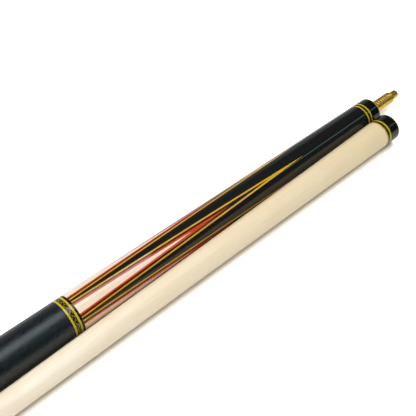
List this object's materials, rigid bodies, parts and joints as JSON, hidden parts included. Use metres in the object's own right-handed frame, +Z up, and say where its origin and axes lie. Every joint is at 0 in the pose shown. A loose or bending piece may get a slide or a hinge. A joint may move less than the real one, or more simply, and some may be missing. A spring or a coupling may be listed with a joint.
{
  "type": "pool cue",
  "caption": "Pool cue taken apart: a butt with spliced points, leather wrap and brass joint pin lies beside its tapered maple shaft.",
  "frame": {"origin": "bottom centre of the box round both halves as they lie side by side on a table", "axes": "+X along the cue towards the joint ends, +Z up; the shaft lies on the -Y side of the butt"},
  "size_m": [0.785, 0.049, 0.0317],
  "materials": {
    "brass": "polished, thin oil film",
    "black_resin": "polished black resin",
    "spacer_resin": "polished dark brown resin",
    "yellow_ring": "polished yellow fibre",
    "scroll_band": "black band with an olive-gold scroll",
    "ebony": "black wood under clear gloss lacquer",
    "point_maple": "maple under clear gloss lacquer",
    "core_maple": "bare maple",
    "red_veneer": "dyed red under clear gloss lacquer",
    "black_veneer": "dyed black under clear gloss lacquer",
    "yellow_veneer": "dyed yellow under clear gloss lacquer",
    "steel": "zinc plated",
    "wrap_leather": "smooth black leather, soft sheen",
    "rubber": "matte black",
    "shaft_maple": "hard maple, sealed and burnished",
    "ferrule": "ivory white resin",
    "fibre": "red fibre",
    "tip_leather": "pressed leather with chalk traces"
  },
  "bodies": {
    "butt": {"joint_pin": "brass", "butt_collar": "black_resin", "butt_joint_ring_front": "yellow_ring", "butt_joint_spacer": "spacer_resin", "butt_joint_ring_rear": "yellow_ring", "forearm": "ebony", "yellow_veneer_1": "yellow_veneer", "black_veneer_1": "black_veneer", "red_veneer_1": "red_veneer", "point_core_1": "point_maple", "yellow_veneer_2": "yellow_veneer", "black_veneer_2": "black_veneer", "red_veneer_2": "red_veneer", "point_core_2": "point_maple", "yellow_veneer_3": "yellow_veneer", "black_veneer_3": "black_veneer", "red_veneer_3": "red_veneer", "point_core_3": "point_maple", "yellow_veneer_4": "yellow_veneer", "black_veneer_4": "black_veneer", "red_veneer_4": "red_veneer", "point_core_4": "point_maple", "yellow_veneer_5": "yellow_veneer", "black_veneer_5": "black_veneer", "red_veneer_5": "red_veneer", "point_core_5": "point_maple", "yellow_veneer_6": "yellow_veneer", "black_veneer_6": "black_veneer", "red_veneer_6": "red_veneer", "point_core_6": "point_maple", "wrap_front_trim_ring": "black_resin", "wrap_front_ring_outer": "yellow_ring", "wrap_front_scroll_band": "scroll_band", "wrap_front_ring_inner": "yellow_ring", "wrap_rear_ring_inner": "yellow_ring", "wrap_rear_scroll_band": "scroll_band", "wrap_rear_ring_outer": "yellow_ring", "wrap_rear_trim_ring": "black_resin", "handle_stud": "steel", "handle_core": "core_maple", "wrap": "wrap_leather", "butt_sleeve": "ebony", "cap_ring_front": "yellow_ring", "cap_spacer": "spacer_resin", "cap_ring_rear": "yellow_ring", "butt_cap": "black_resin"},
    "weight": {"weight_bolt": "steel"},
    "insert": {"shaft_insert": "brass"},
    "shaft": {"shaft_collar": "black_resin", "shaft_joint_ring_front": "yellow_ring", "shaft_joint_spacer": "spacer_resin", "shaft_joint_ring_rear": "yellow_ring", "shaft_wood": "shaft_maple", "ferrule": "ferrule", "tip_pad": "fibre", "cue_tip": "tip_leather"},
    "rear_bumper": {"bumper": "rubber"}
  },
  "joints": [
    {"name": "shaft_travel", "type": "slide", "parent": "butt", "child": "weight", "axis": [-1, 0, 0.0069], "range_m": [0, 0.03595]},
    {"name": "shaft_swing", "type": "hinge", "parent": "weight", "child": "insert", "pos_m": [0.37205, -0.00256, 0.01068], "axis": [0.0006, 0.01, 0.9999], "range_deg": [0, 180.13]},
    {"name": "shaft_turn", "type": "hinge", "parent": "insert", "child": "shaft", "pos_m": [0.35113, -0.01369, 0.0108], "axis": [1, -0.0021, 0.0057], "range_deg": [0, 5095.29]},
    {"name": "bumper_pull", "type": "slide", "parent": "butt", "child": "rear_bumper", "axis": [-1, 0, 0.0069], "range_m": [0, 0.016]}
  ],
  "couplings": [
    {"joint": "shaft_turn", "follows": "shaft_travel", "rad_per_m": 2473.7}
  ]
}
